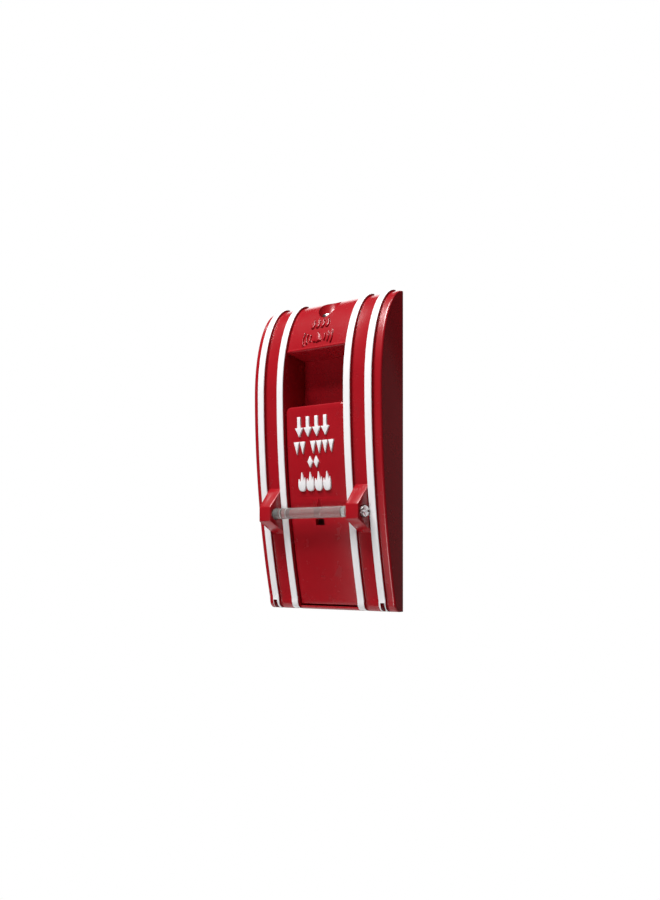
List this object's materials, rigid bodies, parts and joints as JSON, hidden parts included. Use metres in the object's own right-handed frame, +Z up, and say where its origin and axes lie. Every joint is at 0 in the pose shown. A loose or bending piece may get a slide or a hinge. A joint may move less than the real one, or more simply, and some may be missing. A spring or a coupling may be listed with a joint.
{
  "type": "manual call point",
  "caption": "Wall-mounted manual fire call point with a ribbed cast front cover, a pull handle hinged at its foot, a glass break rod and a toggle switch behind.",
  "frame": {"origin": "centre of the mounting plate's rear face, on the wall plane", "axes": "+Z up, +X to the right as seen from the front, the front faces -Y and the wall lies on the +Y side"},
  "size_m": [0.07, 0.0282, 0.142],
  "materials": {
    "red_enamel": "glossy red baked enamel on a zinc die casting, rib crests painted white",
    "plated_steel": "zinc-plated sheet steel",
    "bright_steel": "nickel-plated turned steel",
    "spring_steel": "oiled spring steel",
    "brass": "plain brass",
    "green_steel": "green-dyed zinc-plated steel",
    "black_plastic": "matte moulded black plastic",
    "phenolic": "dark brown moulded phenolic",
    "rod_glass": "clear drawn glass rod",
    "red_insulation": "red wire insulation",
    "black_insulation": "black wire insulation"
  },
  "bodies": {
    "wall": {"mounting_plate": "plated_steel", "ground_screw": "green_steel", "ground_washer": "brass"},
    "cover": {"front_cover": "red_enamel", "cover_hinge_pin_left": "bright_steel", "cover_hinge_pin_right": "bright_steel", "lock_nut": "brass", "glass_rod_left": "rod_glass", "glass_rod_right": "rod_glass", "handle_pivot_pin": "bright_steel", "pin_clip_left": "spring_steel", "pin_clip_right": "spring_steel", "handle_spring": "spring_steel", "switch_bracket": "plated_steel", "bracket_screw_left": "plated_steel", "bracket_screw_right": "plated_steel", "switch_frame": "bright_steel", "switch_body": "phenolic", "switch_lock_washer": "spring_steel", "switch_nut": "brass", "switch_terminal_rear": "brass", "switch_terminal_middle": "brass", "switch_terminal_front": "brass", "terminal_block": "black_plastic", "block_screw_left": "plated_steel", "block_screw_right": "plated_steel", "switch_lead_red": "red_insulation", "switch_lead_black": "black_insulation", "terminal_clamp_1": "brass", "terminal_screw_1": "bright_steel", "terminal_clamp_2": "brass", "terminal_screw_2": "bright_steel", "terminal_clamp_3": "brass", "terminal_screw_3": "bright_steel", "terminal_clamp_4": "brass", "terminal_screw_4": "bright_steel"},
    "handle": {"pull_handle": "red_enamel", "actuator_arm": "plated_steel", "actuator_screw_left": "plated_steel", "actuator_screw_right": "plated_steel", "glass_rod_middle": "rod_glass"},
    "toggle": {"toggle_lever": "bright_steel"},
    "lock": {"lock_screw": "bright_steel"},
    "retainer": {"rod_retainer_screw": "bright_steel"}
  },
  "joints": [
    {"name": "cover_hinge", "type": "hinge", "parent": "wall", "child": "cover", "pos_m": [0, -0.0042, -0.0692], "axis": [1, 0, 0], "range_deg": [0, 80]},
    {"name": "handle_hinge", "type": "hinge", "parent": "cover", "child": "handle", "pos_m": [0, -0.0044, -0.0636], "axis": [1, 0, 0], "range_deg": [0, 30], "deforming": ["handle_spring"]},
    {"name": "toggle_pivot", "type": "hinge", "parent": "cover", "child": "toggle", "pos_m": [0, -0.0016, -0.042], "axis": [1, 0, 0], "range_deg": [-30, 0]},
    {"name": "lock_turn", "type": "hinge", "parent": "cover", "child": "lock", "pos_m": [0, -0.0072, 0.06], "axis": [0, 0, 1], "continuous": true},
    {"name": "retainer_turn", "type": "hinge", "parent": "cover", "child": "retainer", "pos_m": [0.027, -0.0198, -0.0273], "axis": [1, 0, 0], "continuous": true}
  ],
  "couplings": [
    {"joint": "toggle_pivot", "follows": "handle_hinge", "ratio": -0.98}
  ]
}
